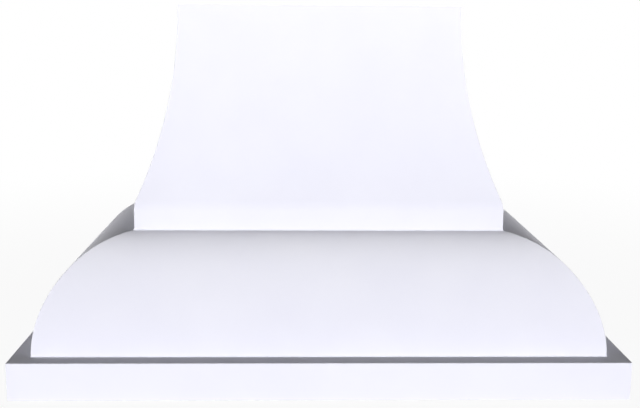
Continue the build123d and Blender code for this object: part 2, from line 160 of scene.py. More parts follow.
def planed_wood(name, along, tones, ring_width, pith=(-35, -210)):
    """Solid timber: wandering growth rings in early and late tones, long fibres with fine pores,
    slow clouds, and darker, thirstier end grain. Along is the fibres' axis, and the pith is the
    middle of the rings, across it. Sizes are in mm."""
    early, late = (linear(tone) for tone in tones)
    fibre_length, fibre_width = 60, 1.6
    cloud_length, cloud_width = 480, 150
    wander_reach = 60
    ring_taper = 0.004
    finish = new_finish(name)
    _, tree, _, place = finish
    fibre_axis = {"X": (1, 0, 0), "Y": (0, 1, 0), "Z": (0, 0, 1)}[along]
    grain = add(tree, "ShaderNodeMapping", {"Vector": place, "Rotation": grain_turns[along]})
    wander = drawn_out(tree, grain, cloud_length, cloud_width, Detail=1).outputs["Color"]
    reach = (0, wander_reach, wander_reach)
    shift = add(tree, "ShaderNodeVectorMath", [wander, reach], operation="MULTIPLY")
    bent = add(tree, "ShaderNodeVectorMath", [grain, shift], operation="ADD")
    from_pith = add(tree, "ShaderNodeVectorMath", [bent, (0, *pith)], operation="SUBTRACT")
    across = add(tree, "ShaderNodeVectorMath", [from_pith, (ring_taper, 1, 1)], operation="MULTIPLY")
    radius = add(tree, "ShaderNodeVectorMath", [across], operation="LENGTH").outputs["Value"]
    rings = add(tree, "ShaderNodeMath", [radius, ring_width], operation="DIVIDE")
    ring = add(tree, "ShaderNodeMath", [rings], operation="FRACT")
    tone = add(tree, "ShaderNodeMapRange", {0: ring, 1: 0.15, 2: 0.92, 3: 0, 4: 1})
    tone.interpolation_type = "SMOOTHERSTEP"
    base = add(tree, "ShaderNodeMix", {0: tone, 6: early, 7: late}, data_type="RGBA")
    patches = drawn_out(tree, grain, cloud_length, cloud_width, Scale=3, Detail=1)
    cloud = add(tree, "ShaderNodeMapRange", {0: patches, 1: 0.3, 2: 0.7, 3: 0.92, 4: 1.05})
    on_end = facing_along(tree, fibre_axis)
    end_grain = add(tree, "ShaderNodeMapRange", {0: on_end, 1: 0.75, 2: 0.95, 3: 1, 4: 0.74})
    tint = add(tree, "ShaderNodeMath", [cloud, end_grain], operation="MULTIPLY")
    toned = add(tree, "ShaderNodeVectorMath", {0: base.outputs[2], "Scale": tint}, operation="SCALE")
    fibre = drawn_out(tree, grain, fibre_length, fibre_width, Detail=3, Roughness=0.6)
    return bare_wood(finish, toned, fibre, shades=(0.88, 1.06), roughnesses=(0.8, 0.64))


def swept_section(tree, section, column_count):
    """Nodes that sweep a section along a line of columns. Its points keep their values, and
    each knows its column."""
    line = add(tree, "GeometryNodeCurvePrimitiveLine")
    path = add(tree, "GeometryNodeResampleCurve", {"Curve": line, "Count": column_count})
    number = add(tree, "GeometryNodeInputIndex")
    path = add(tree, "GeometryNodeStoreNamedAttribute", {"Geometry": path, "Name": "column", "Value": number})
    profile = add(tree, "GeometryNodeMeshToCurve", {"Mesh": section})
    return add(tree, "GeometryNodeCurveToMesh", {"Curve": path, "Profile Curve": profile, "Fill Caps": True})


def new_geometry_tree(name, result, **sockets):
    """A geometry node tree with these named inputs, and the outputs of its input node."""
    tree = bpy.data.node_groups.new(name, "GeometryNodeTree")
    for socket, kind in sockets.items():
        label = socket.replace("_", " ").capitalize()
        tree.interface.new_socket(label, in_out="INPUT", socket_type="NodeSocket" + kind)
    tree.interface.new_socket(result, in_out="OUTPUT", socket_type="NodeSocketGeometry")
    return tree, add(tree, "NodeGroupInput").outputs


def mitred_run():
    """The node tree that sweeps a section along the front or one side. The host's mesh is the
    section, with its insets along X and its heights along Y. Side is -1 for the left, 0 for the
    front and 1 for the right. The front ends lie on the mitres, with half a round corner each."""
    tree, given = new_geometry_tree(
        "Mitred run", "Run", section="Geometry", side="Float", half_width="Float", front="Float",
        wall="Float", corner_radius="Float", corner_steps="Float", painted="Material", bare="Material",
    )
    steps, side = given["Corner steps"], given["Side"]
    is_side = add(tree, "ShaderNodeMath", [side], operation="ABSOLUTE")
    is_front = add(tree, "ShaderNodeMath", [1, is_side], operation="SUBTRACT")
    # A front run has columns for two half corners, a side run for one and for its end at the wall.
    last = add(tree, "ShaderNodeMath", [steps, is_front, steps], operation="MULTIPLY_ADD")
    last = add(tree, "ShaderNodeMath", [last, 1], operation="ADD")
    count = add(tree, "ShaderNodeMath", [last, 1], operation="ADD")
    swept = swept_section(tree, given["Section"], count)
    column, inset, height, depth, corner, painted = (
        add(tree, "GeometryNodeInputNamedAttribute", {"Name": name})
        for name in ("column", "inset", "height", "depth", "corner", "painted")
    )
    from_last = add(tree, "ShaderNodeMath", [last, column], operation="SUBTRACT")
    nearest = add(tree, "ShaderNodeMath", [column, from_last], operation="MINIMUM")
    near = add(tree, "ShaderNodeMix", {0: is_front, 2: column, 3: nearest})
    turned = add(tree, "ShaderNodeMath", [near, steps], operation="DIVIDE")
    turned = add(tree, "ShaderNodeMath", [turned, 1], operation="MINIMUM")
    # The half round starts on the mitre, at half a right angle.
    mitre = pi / 4
    swing = add(tree, "ShaderNodeMapRange", {0: is_side, 1: 0, 2: 1, 3: -mitre, 4: mitre})
    angle = add(tree, "ShaderNodeMath", [turned, swing, mitre], operation="MULTIPLY_ADD")
    outside = add(tree, "ShaderNodeMath", [1, depth], operation="SUBTRACT")
    ease = add(tree, "ShaderNodeMath", [outside, given["Corner radius"]], operation="MULTIPLY")
    sine = add(tree, "ShaderNodeMath", [angle], operation="SINE")
    cosine = add(tree, "ShaderNodeMath", [angle], operation="COSINE")
    cut_x = add(tree, "ShaderNodeMath", [1, sine], operation="SUBTRACT")
    cut_y = add(tree, "ShaderNodeMath", [1, cosine], operation="SUBTRACT")
    inset_x = add(tree, "ShaderNodeMath", [ease, cut_x, inset], operation="MULTIPLY_ADD")
    inset_y = add(tree, "ShaderNodeMath", [ease, cut_y, inset], operation="MULTIPLY_ADD")
    past = add(tree, "ShaderNodeMath", [column, steps], operation="GREATER_THAN")
    which_half = add(tree, "ShaderNodeMapRange", {0: past, 1: 0, 2: 1, 3: -1, 4: 1})
    hand = add(tree, "ShaderNodeMix", {0: is_front, 2: side, 3: which_half})
    reach = add(tree, "ShaderNodeMath", [given["Half width"], inset_x], operation="SUBTRACT")
    x = add(tree, "ShaderNodeMath", [hand, reach], operation="MULTIPLY")
    y_near = add(tree, "ShaderNodeMath", [given["Front"], inset_y], operation="ADD")
    at_wall = add(tree, "ShaderNodeMath", [past, is_side], operation="MULTIPLY")
    y = add(tree, "ShaderNodeMix", {0: at_wall, 2: y_near, 3: given["Wall"]})
    place = add(tree, "ShaderNodeCombineXYZ", [x, y, height])
    shaped = add(tree, "GeometryNodeSetPosition", {"Geometry": swept, "Position": place})
    # The arris value is 1 along the line of a hip or an eased edge and 0 on the flats.
    on_hip = add(tree, "ShaderNodeMath", [1, turned], operation="SUBTRACT")
    on_edge = add(tree, "ShaderNodeMath", [on_hip, corner], operation="MAXIMUM")
    arris = add(tree, "ShaderNodeMath", [on_edge, outside], operation="MULTIPLY")
    sockets = {"Geometry": shaped, "Name": "arris", "Value": arris}
    shaped = add(tree, "GeometryNodeStoreNamedAttribute", sockets)
    shaped = add(tree, "GeometryNodeSetMaterial", {"Geometry": shaped, "Material": given["Bare"]})
    # A face is painted where all its corners are.
    nearly_all = 0.99
    outer = add(tree, "ShaderNodeMath", [painted, nearly_all], operation="GREATER_THAN")
    sockets = {"Geometry": shaped, "Selection": outer, "Material": given["Painted"]}
    shaped = add(tree, "GeometryNodeSetMaterial", sockets)
    add(tree, "NodeGroupOutput", [add(tree, "GeometryNodeRealizeInstances", [shaped])])
    return tree


def hosted(name, points, edges=(), faces=()):
    """A plain mesh object, to put a node tree on or to cut with."""
    mesh = bpy.data.meshes.new(name)
    mesh.from_pydata(points, edges, faces)
    host = bpy.data.objects.new(name, mesh)
    bpy.context.scene.collection.objects.link(host)
    return host


def with_values(host, kind, **values):
    """The host with these named values on its points."""
    for name, column in values.items():
        attribute = host.data.attributes.new(name, kind, "POINT")
        if kind == "FLOAT":
            attribute.data.foreach_set("value", column)
        else:
            attribute.data.foreach_set("vector", [part for vector in column for part in vector])
    return host


def with_modifier(host, tree, values):
    """The host with this node tree as a modifier, its inputs set by their identifiers."""
    modifier = host.modifiers.new(tree.name, "NODES")
    modifier.node_group = tree
    for item in tree.interface.items_tree:
        if item.name in values:
            modifier[item.identifier] = values[item.name]
    return host


def settled(host, name):
    """The host's evaluated mesh as a plain object of this name; the host goes."""
    bpy.context.view_layer.update()
    graph = bpy.context.evaluated_depsgraph_get()
    evaluated = host.evaluated_get(graph)
    options = {"preserve_all_data_layers": True, "depsgraph": graph}
    mesh = bpy.data.meshes.new_from_object(evaluated, **options)
    mesh.name = name
    piece = bpy.data.objects.new(name, mesh)
    bpy.context.scene.collection.objects.link(piece)
    bpy.data.objects.remove(host)
    return piece


def sound(piece):
    """The piece with its doubles merged, its faces outwards and its true corners sharp."""
    shape = bmesh.new()
    shape.from_mesh(piece.data)
    bmesh.ops.remove_doubles(shape, verts=shape.verts, dist=seam)
    bmesh.ops.recalc_face_normals(shape, faces=shape.faces)
    shape.to_mesh(piece.data)
    shape.free()
    piece.data.shade_smooth()
    piece.data.set_sharp_from_angle(angle=sharpest_smooth_bend)
    return piece


def cut_away(piece, cutter):
    """The piece less the cutter, which stays for the next cut."""
    modifier = piece.modifiers.new("Cut", "BOOLEAN")
    modifier.operation, modifier.solver = "DIFFERENCE", "EXACT"
    modifier.material_mode = "TRANSFER"
    modifier.object = cutter
    return sound(settled(piece, piece.name + "_cut"))


def in_place_of(node, piece):
    """The piece, named for the CAD node that it replaces and riding where it did."""
    piece = settled(piece, node + "_finished")
    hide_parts(node)
    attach(piece, "root")


def swept_member(name, section, side, bare, cutter=None):
    """One mitred member with this section, sprayed where it is painted and bare elsewhere. Each
    point of the section has an inset, a height, a depth of 0 outside or 1 inside, 1 if painted,
    and 1 on an arris."""
    edges = [(i, (i + 1) % len(section)) for i in range(len(section))]
    host = hosted(name + "_section", [(p[0], p[1], 0) for p in section], edges)
    labels = ("inset", "height", "depth", "painted", "corner")
    with_values(host, "FLOAT", **dict(zip(labels, zip(*section))))
    values = {
        "Side": float(side),
        "Half width": half_width,
        "Front": front_y,
        "Wall": wall_y,
        "Corner radius": corner_radius,
        "Corner steps": float(corner_steps),
        "Painted": lacquer,
        "Bare": bare,
    }
    piece = sound(settled(with_modifier(host, run_tree, values), name + "_board"))
    if cutter is not None:
        piece = cut_away(piece, cutter)
    for label in ("inset", "height", "painted", "corner", "column"):
        piece.data.attributes.remove(piece.data.attributes[label])
    piece.modifiers.new("Flat faces stay flat", "WEIGHTED_NORMAL").keep_sharp = True
    return piece


def swept_round(form, section, woods, side_cutter=None, front_cutter=None):
    """The left, front and right members with this section, in place of their CAD nodes. The
    woods are by the axis that their fibres run along."""
    for side, word in side_names.items():
        name = f"{form}_{word}"
        bare, cutter = (woods["Y"], side_cutter) if side else (woods["X"], front_cutter)
        in_place_of(name, swept_member(name, section, side, bare, cutter))


def eased(before, corner, after, radius, steps=4):
    """The points of an eased corner of a section, between its neighbours in order."""
    place, back, on = (Vector(p[:2]) for p in (corner, before, after))
    u, v = (back - place).normalized(), (on - place).normalized()
    half = acos(u.dot(v)) / 2
    centre = place + (u + v).normalized() * radius / sin(half)
    reach = radius * cos(half) / sin(half)
    start, end = place + u * reach - centre, place + v * reach - centre
    points = []
    for step in range(steps + 1):
        share = step / steps
        arm = start.slerp(end, share).normalized() * radius
        points.append((*(centre + arm), corner[2], corner[3], 1 - abs(2 * share - 1)))
    return points


def rail_housing(rail, spare=0.005):
    """A block to cut the housings for both ends of a rail, open at the wall, above and below."""
    low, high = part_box(rail)
    corners = [
        (x, y, z)
        for x in (low.x, high.x)
        for y in (low.y, high.y + spare)
        for z in (low.z - spare, high.z + spare)
    ]
    sides = [(0, 1, 3, 2), (4, 6, 7, 5), (0, 4, 5, 1), (2, 3, 7, 6), (0, 2, 6, 4), (1, 5, 7, 3)]
    cutter = hosted(rail + "_housing", corners, faces=sides)
    cutter.data.materials.append(poplar["Y"])
    return cutter


lacquer = sprayed_lacquer()
poplar = {
    along: planed_wood("planed_poplar_" + ways[along], along, poplar_tones, poplar_ring_width)
    for along in "XY"
}
run_tree = mitred_run()
side_names = {-1: "left", 0: "front", 1: "right"}
lower_inner = (apron_thickness, 0, 1, 1)
lower_outer = (0, 0, 0, 1)
upper_outer = (0, apron_top, 0, 1)
upper_inner = (rebate_inset, apron_top, 1, 1)
apron_section = [
    (*lower_inner, 0),
    *eased(lower_inner, lower_outer, upper_outer, lower_edge_radius),
    *eased(lower_outer, upper_outer, upper_inner, upper_edge_radius),
    (*upper_inner, 0),
    (rebate_inset, rebate_height, 1, 0, 0),
    (apron_thickness, rebate_height, 1, 0, 0),
]
apron_housing = rail_housing("apron_back_rail")
swept_round("apron", apron_section, poplar, side_cutter=apron_housing)
bpy.data.objects.remove(apron_housing)

# Apron back rail, glue blocks and biscuits. The planed poplar rail is let 6 mm into the side
# boards and drilled for two wall screws. Sawn pine blocks stiffen the corners, and pressed
# beech biscuits lie in the mitres.

pine_tones, pine_ring_width, pine_pith = ("#F1E0BA", "#DDB981"), 6.5, (-60, -260)
beech_tones, beech_ring_width = ("#D8B48A", "#B98E60"), 3


def finish_nodes(material, *names):
    """Gives CAD nodes this material."""
    for name in names:
        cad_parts[name].material_slots[0].material = material


pine = {
    along: planed_wood("sawn_pine_" + ways[along], along, pine_tones, pine_ring_width, pine_pith)
    for along in "XYZ"
}
beech = planed_wood("pressed_beech", "Z", beech_tones, beech_ring_width)
finish_nodes(poplar["X"], "apron_back_rail")
finish_nodes(pine["Z"], "apron_glue_blocks")
finish_nodes(beech, "mitre_biscuits")

# Liner cleats. Four sawn pine battens screwed level round the inside of the apron, which a
# ventilation liner is fixed up to.

finish_nodes(pine["X"], "liner_cleat_front", "liner_cleat_back")
finish_nodes(pine["Y"], "liner_cleat_left", "liner_cleat_right")

# Cleat screws. Zinc-plated steel wood screws 42 mm long, turned and thread-rolled, with
# countersunk heads and square recesses, driven level through the cleats into the boards.

head_radius, head_height = 0.004, 0.0026
head_rim, head_chamfer = 0.0002, 0.0001
shank_radius, core_radius = 0.0021, 0.0015
recess_half, recess_depth = 0.0013, 0.002
smooth_length, point_length = 0.012, 0.006
thread_pitch = 0.0024
rows_per_turn = 6
screw_columns = 16
cleat_screw_length = 0.042
cleat_end_margin = 0.11
long_cleat_screws, short_cleat_screws = 5, 3


def zinc_plate():
    """Bright zinc plate on rolled steel: blue-grey and bright, with pale yellowish blooms and
    fine tumbling marks that cloud its gloss. Widths are in mm and the depth in metres."""
    bright, yellowish = linear("#C3C8CE"), linear("#CFC8AE")
    bloom_width, mark_width, mark_depth = 3, 0.5, 0.00001
    material, tree, shader, place = new_finish("bright_zinc_plated_steel")
    bloom = add(tree, "ShaderNodeTexNoise", {"Vector": place, "Scale": 1 / bloom_width, "Detail": 2})
    stain = add(tree, "ShaderNodeMapRange", {0: bloom, 1: 0.4, 2: 0.7, 3: 0, 4: 1})
    colour = add(tree, "ShaderNodeMix", {0: stain, 6: bright, 7: yellowish}, data_type="RGBA")
    marks = add(tree, "ShaderNodeTexNoise", {"Vector": place, "Scale": 1 / mark_width, "Detail": 3})
    roughness = add(tree, "ShaderNodeMapRange", {0: marks, 1: 0.3, 2: 0.7, 3: 0.28, 4: 0.46})
    bump = add(tree, "ShaderNodeBump", {"Height": marks, "Strength": 1, "Distance": mark_depth})
    surface = {"Base Color": colour.outputs[2], "Roughness": roughness, "Normal": bump}
    wire(tree, shader, {**surface, "Metallic": 1})
    return material


def turned_section():
    """The node tree that turns a section about the Z axis. The host's mesh is the section, with
    its radii along X and its heights along Y. A thread winds down it where it stands proud, and
    it is square where its squareness is 1."""
    crest_share = 0.3
    merged = 0.00001
    tree, given = new_geometry_tree(
        "Turned section", "Turned",
        section="Geometry", columns="Float", pitch="Float", material="Material",
    )
    count = add(tree, "ShaderNodeMath", [given["Columns"], 1], operation="ADD")
    swept = swept_section(tree, given["Section"], count)
    column, girth, height, squareness, proud = (
        add(tree, "GeometryNodeInputNamedAttribute", {"Name": name})
        for name in ("column", "girth", "height", "squareness", "proud")
    )
    turned = add(tree, "ShaderNodeMath", [column, given["Columns"]], operation="DIVIDE")
    turns = add(tree, "ShaderNodeMath", [height, given["Pitch"]], operation="DIVIDE")
    phase = add(tree, "ShaderNodeMath", [turns, turned], operation="SUBTRACT")
    phase = add(tree, "ShaderNodeMath", [phase], operation="FRACT")
    off_crest = add(tree, "ShaderNodeMath", [phase, 0.5], operation="SUBTRACT")
    off_crest = add(tree, "ShaderNodeMath", [off_crest], operation="ABSOLUTE")
    crest = add(tree, "ShaderNodeMapRange", {0: off_crest, 1: 0, 2: crest_share, 3: 1, 4: 0})
    stand = add(tree, "ShaderNodeMath", [crest, proud, girth], operation="MULTIPLY_ADD")
    angle = add(tree, "ShaderNodeMath", [turned, 2 * pi], operation="MULTIPLY")
    cosine = add(tree, "ShaderNodeMath", [angle], operation="COSINE")
    sine = add(tree, "ShaderNodeMath", [angle], operation="SINE")
    level = add(tree, "ShaderNodeMath", [cosine], operation="ABSOLUTE")
    upright = add(tree, "ShaderNodeMath", [sine], operation="ABSOLUTE")
    nearest = add(tree, "ShaderNodeMath", [level, upright], operation="MAXIMUM")
    to_square = add(tree, "ShaderNodeMath", [1, nearest], operation="DIVIDE")
    stretch = add(tree, "ShaderNodeMix", {0: squareness, 2: 1, 3: to_square})
    reach = add(tree, "ShaderNodeMath", [stand, stretch], operation="MULTIPLY")
    x = add(tree, "ShaderNodeMath", [reach, cosine], operation="MULTIPLY")
    y = add(tree, "ShaderNodeMath", [reach, sine], operation="MULTIPLY")
    place = add(tree, "ShaderNodeCombineXYZ", [x, y, height])
    shaped = add(tree, "GeometryNodeSetPosition", {"Geometry": swept, "Position": place})
    shaped = add(tree, "GeometryNodeMergeByDistance", {"Geometry": shaped, "Distance": merged})
    shaped = add(tree, "GeometryNodeRealizeInstances", [shaped])
    sockets = {"Geometry": shaped, "Material": given["Material"]}
    add(tree, "NodeGroupOutput", [add(tree, "GeometryNodeSetMaterial", sockets)])
    return tree


def driven_in():
    """The node tree that sets a screw at each point, its head facing out along the point's aim
    and its recess turned as it came to rest."""
    tree, given = new_geometry_tree(
        "Driven in", "Screws", places="Geometry", screw="Object", seed="Int", material="Material"
    )
    screw = add(tree, "GeometryNodeObjectInfo", {"Object": given["Screw"]}).outputs["Geometry"]
    aim = add(tree, "GeometryNodeInputNamedAttribute", {"Name": "aim"}, data_type="FLOAT_VECTOR")
    facing = add(tree, "FunctionNodeAlignRotationToVector", {"Vector": aim}, axis="Z")
    rest = add(tree, "FunctionNodeRandomValue", {"Max": 2 * pi, "Seed": given["Seed"]}, data_type="FLOAT")
    spin = add(tree, "FunctionNodeAxisAngleToRotation", {"Angle": rest.outputs["Value"]})
    sockets = {"Rotation": facing, "Rotate By": spin}
    spun = add(tree, "FunctionNodeRotateRotation", sockets, rotation_space="LOCAL")
    sockets = {"Points": given["Places"], "Instance": screw, "Rotation": spun}
    screws = add(tree, "GeometryNodeInstanceOnPoints", sockets)
    screws = add(tree, "GeometryNodeRealizeInstances", [screws])
    sockets = {"Geometry": screws, "Material": given["Material"]}
    add(tree, "NodeGroupOutput", [add(tree, "GeometryNodeSetMaterial", sockets)])
    return tree


def turned_piece(name, section, material):
    """A turned piece on the Z axis. Each point of its section has a girth, which is its radius,
    a height, a squareness, and how far the thread stands proud there."""
    edges = [(i, i + 1) for i in range(len(section) - 1)]
    host = hosted(name + "_section", [(p[0], p[1], 0) for p in section], edges)
    labels = ("girth", "height", "squareness", "proud")
    with_values(host, "FLOAT", **dict(zip(labels, zip(*section))))
    values = {"Columns": float(screw_columns), "Pitch": thread_pitch, "Material": material}
    piece = settled(with_modifier(host, turn_tree, values), name)
    for label in (*labels, "column"):
        piece.data.attributes.remove(piece.data.attributes[label])
    return sound(piece)


def wood_screw(length):
    """One screw of this length, its head's face at the origin and its point down the Z axis."""
    rim_radius = head_radius - head_rim
    section = [
        (0, -recess_depth, 1, 0),
        (recess_half, -recess_depth, 1, 0),
        (recess_half, 0, 1, 0),
        (rim_radius - head_chamfer, 0, 0, 0),
        (rim_radius, -head_rim, 0, 0),
        (shank_radius, -head_height, 0, 0),
        (shank_radius, -smooth_length, 0, 0),
    ]
    proud = shank_radius - core_radius
    row = thread_pitch / rows_per_turn
    thread_rows = int((length - point_length - smooth_length) / row)
    for number in range(1, thread_rows + 1):
        section.append((core_radius, -smooth_length - number * row, 0, proud))
    point_rows = int(point_length / row)
    for number in range(1, point_rows):
        left = 1 - number / point_rows
        section.append((core_radius * left, -length + point_length * left, 0, proud * left))
    section.append((0, -length, 0, 0))
    return turned_piece("wood_screw", section, zinc)


def set_at(name, places, single, seed, material):
    """A piece's copies at these places, as one object. Each place is a point and an aim, and the
    piece itself goes."""
    points, aims = zip(*places)
    host = with_values(hosted(name + "_places", points), "FLOAT_VECTOR", aim=aims)
    values = {"Screw": single, "Seed": seed, "Material": material}
    copies = settled(with_modifier(host, drive_tree, values), name + "_driven")
    bpy.data.objects.remove(single)
    return sound(copies)


def drive_screws(node, places, length, seed):
    """Screws in place of a CAD group. Each place is a point and the way that its head faces."""
    in_place_of(node, set_at(node, places, wood_screw(length), seed, zinc))


def spaced(start, end, margin, count):
    """Evenly spaced places from one margin to the other."""
    pitch = (end - start - 2 * margin) / (count - 1)
    return [start + margin + number * pitch for number in range(count)]


zinc = zinc_plate()
turn_tree = turned_section()
drive_tree = driven_in()
front_cleat_low, front_cleat_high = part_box("liner_cleat_front")
back_cleat_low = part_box("liner_cleat_back")[0]
left_cleat_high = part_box("liner_cleat_left")[1]
cleat_middle = (front_cleat_low.z + front_cleat_high.z) / 2
cleat_places = []
for x in spaced(front_cleat_low.x, front_cleat_high.x, cleat_end_margin, long_cleat_screws):
    cleat_places.append(((x, front_cleat_high.y, cleat_middle), (0, 1, 0)))
    cleat_places.append(((x, back_cleat_low.y, cleat_middle), (0, -1, 0)))
for y in spaced(front_cleat_high.y, back_cleat_low.y, cleat_end_margin, short_cleat_screws):
    cleat_places.append(((left_cleat_high.x, y, cleat_middle), (1, 0, 0)))
    cleat_places.append(((-left_cleat_high.x, y, cleat_middle), (-1, 0, 0)))
drive_screws("liner_cleat_screws", cleat_places, cleat_screw_length, seed=3)

# Ledge. Three poplar boards laid flat in the apron's rebate, mitred like the apron and drilled
# from below for the rib screws. Only the strip in front of the bell shows; it is sprayed with
# the apron. Behind the bell's foot the boards are bare.

bell_low, bell_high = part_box("bell_skin_front")
bell_foot_inset = bell_low.y - front_y
ledge_inner_inset = ledge_high.y - front_y
paint_under_bell = 0.002
bell_rib_count = 5
rib_foot_length = 0.04
foot_hole_depth = 0.03
hole_mouth = 0.001
drill_clearance = 0.0001
ledge_section = [
    (rebate_inset, apron_top, 1, 1, 0),
    (bell_foot_inset + paint_under_bell, apron_top, 1, 1, 0),
    (ledge_inner_inset, apron_top, 1, 0, 0),
    (ledge_inner_inset, rebate_height, 1, 0, 0),
    (rebate_inset, rebate_height, 1, 0, 0),
]


def middle_of(node, axis):
    """The middle of a CAD node along one axis."""
    low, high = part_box(node)
    return (low[axis] + high[axis]) / 2


def rib_places(form, count, inset, height, facing):
    """A screw for each front and side rib of the bell or the chimney, at this inset."""
    spots = [(middle_of(f"{form}_rib_front_{n}", 0), front_y + inset) for n in range(1, count + 1)]
    side_y = middle_of(f"{form}_rib_side_left", 1)
    spots += [(side * (half_width - inset), side_y) for side in (-1, 1)]
    return [((x, y, height), (0, 0, facing)) for x, y in spots]


def drilled_holes(name, places, depth):
    """Countersunk holes for the screws at these places, to cut with, open above the head."""
    head, shank = head_radius + drill_clearance, shank_radius + drill_clearance
    section = [
        (0, hole_mouth, 0, 0),
        (head, hole_mouth, 0, 0),
        (head, 0, 0, 0),
        (shank, -head_height, 0, 0),
        (shank, -depth, 0, 0),
        (0, -depth, 0, 0),
    ]
    return set_at(name, places, turned_piece("hole", section, poplar["X"]), 0, poplar["X"])


rib_foot_inset = ledge_inner_inset - rib_foot_length / 2
rib_foot_places = rib_places("bell", bell_rib_count, rib_foot_inset, ledge_low.z, -1)
foot_holes = drilled_holes("rib_foot_holes", rib_foot_places, foot_hole_depth)
swept_round("ledge", ledge_section, poplar, foot_holes, foot_holes)
bpy.data.objects.remove(foot_holes)

# Bell ribs. Shapes jigsawn from 18 mm birch plywood that stand on the ledge boards: five at the
# front, one on each side, one on each bevelled hip and one on each side at the wall. Each foot
# is screwed from below. Pale faces, and fine dark and light stripes on the sawn edges.

bell_rib_screw_length = 0.038


def veneer_bands(tree, grain, length, width, count, **inputs):
    """The soft bands of a rotary-cut veneer along its grain, from 0 to 1; sizes are in mm."""
    figure = drawn_out(tree, grain, length, width, **inputs)
    bands = add(tree, "ShaderNodeMath", [figure, count], operation="MULTIPLY")
    return add(tree, "ShaderNodeMath", [bands, 1], operation="PINGPONG")


def birch_plywood(name, through):
    """Birch plywood: pale rotary-cut faces with soft bands, and edges that show the plies.
    Through is the axis across the sheet. The plies are drawn 2.6 mm thick, so that they show."""
    pale_face, warm_face = linear("#EAD9B6"), linear("#DCC498")
    long_ply, end_ply = linear("#DFC59A"), linear("#A37C50")
    ply_thickness, relief_width = 2.6, 2.2
    least_facing = 0.8
    finish = new_finish(name)
    _, tree, _, place = finish
    grain = add(tree, "ShaderNodeMapping", {"Vector": place, "Rotation": grain_turns["Z"]})
    band = veneer_bands(tree, grain, length=380, width=60, count=6, Detail=3, Distortion=0.4)
    face = add(tree, "ShaderNodeMix", {0: band, 6: pale_face, 7: warm_face}, data_type="RGBA")
    across = add(tree, "ShaderNodeVectorMath", [place, through], operation="DOT_PRODUCT")
    plies = add(tree, "ShaderNodeMath", [across.outputs["Value"], ply_thickness], operation="DIVIDE")
    ply = add(tree, "ShaderNodeMath", [plies, 1], operation="PINGPONG")
    dark = add(tree, "ShaderNodeMapRange", {0: ply, 1: 0.42, 2: 0.58, 3: 0, 4: 1})
    dark.interpolation_type = "SMOOTHSTEP"
    edge = add(tree, "ShaderNodeMix", {0: dark, 6: long_ply, 7: end_ply}, data_type="RGBA")
    facing = facing_along(tree, through)
    on_face = add(tree, "ShaderNodeMath", [facing, least_facing], operation="GREATER_THAN")
    sockets = {0: on_face, 6: edge.outputs[2], 7: face.outputs[2]}
    colour = add(tree, "ShaderNodeMix", sockets, data_type="RGBA")
    relief = add(tree, "ShaderNodeTexNoise", {"Vector": place, "Scale": 1 / relief_width, "Detail": 3})
    shades, roughnesses = (0.9, 1.05), (0.76, 0.64)
    return bare_wood(finish, colour.outputs[2], relief, shades, roughnesses)


birch = {
    "front": birch_plywood("birch_plywood_square_to_the_front", (1, 0, 0)),
    "side": birch_plywood("birch_plywood_square_to_the_sides", (0, 1, 0)),
    "left_hip": birch_plywood("birch_plywood_on_the_left_hip", (sqrt(0.5), -sqrt(0.5), 0)),
    "right_hip": birch_plywood("birch_plywood_on_the_right_hip", (sqrt(0.5), sqrt(0.5), 0)),
}


def finish_ribs(form, front_count):
    """Gives all the ribs of the bell or the chimney their plywood."""
    finish_nodes(birch["front"], *[f"{form}_rib_front_{n}" for n in range(1, front_count + 1)])
    for hand in ("left", "right"):
        finish_nodes(birch["side"], f"{form}_rib_side_{hand}", f"{form}_rib_wall_{hand}")
        finish_nodes(birch[hand + "_hip"], f"{form}_rib_hip_{hand}")


finish_ribs("bell", bell_rib_count)
drive_screws("rib_foot_screws", rib_foot_places, bell_rib_screw_length, seed=5)

# Neck. Three upright poplar boards, mitred and biscuited, housed for the rail at the wall. They
# are sprayed where they show above the bell and bare below and inside. Their top edge and the
# chimney's foot are filled and sanded fair together, to one soft shoulder.

neck_inset = bell_high.y - front_y
neck_low, neck_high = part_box("neck_front")
neck_inner_inset = neck_high.y - front_y
paint_behind_bell = 0.001
skin_thickness = 0.009
chimney_low, chimney_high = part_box("chimney_skin_front")
chimney_rise = chimney_high.z - chimney_low.z
chimney_run = chimney_high.y - skin_thickness - chimney_low.y
chimney_radius = (chimney_run**2 + chimney_rise**2) / (2 * chimney_run)
chimney_centre = Vector((neck_inset + chimney_run - chimney_radius, chimney_high.z))
shoulder_radius = 0.06
shoulder_steps = 6


def arc(centre, radius, start, end, steps):
    """Points of an arc between two angles, both ends included."""
    angles = [start + (end - start) * step / steps for step in range(steps + 1)]
    return [centre + radius * Vector((cos(a), sin(a))) for a in angles]


# The shoulder's arc touches the neck's upright face and the chimney's arc. The seam between the
# two pieces cuts it level.
shoulder_inset = neck_inset + shoulder_radius
centre_distance = chimney_radius + shoulder_radius
shoulder_slope = acos((shoulder_inset - chimney_centre.x) / centre_distance)
shoulder_centre = Vector((shoulder_inset, chimney_centre.y - centre_distance * sin(shoulder_slope)))
seam_slope = asin((neck_high.z - shoulder_centre.y) / shoulder_radius)
neck_shoulder = arc(shoulder_centre, shoulder_radius, pi, pi - seam_slope, shoulder_steps)
neck_section = [
    (neck_inset, neck_low.z, 0, 0, 0),
    (neck_inset, bell_high.z - paint_behind_bell, 0, 1, 0),
    *[(*point, 0, 1, 0) for point in neck_shoulder],
    (neck_inner_inset, neck_high.z, 1, 0, 0),
    (neck_inner_inset, neck_low.z, 1, 0, 0),
]
neck_housing = rail_housing("neck_back_rail")
swept_round("neck", neck_section, poplar, side_cutter=neck_housing)
bpy.data.objects.remove(neck_housing)

# Neck rail and plates. The planed poplar rail closes the neck at the wall. Three sawn pine
# plates lie level inside the neck and carry the chimney ribs, which are screwed from below.

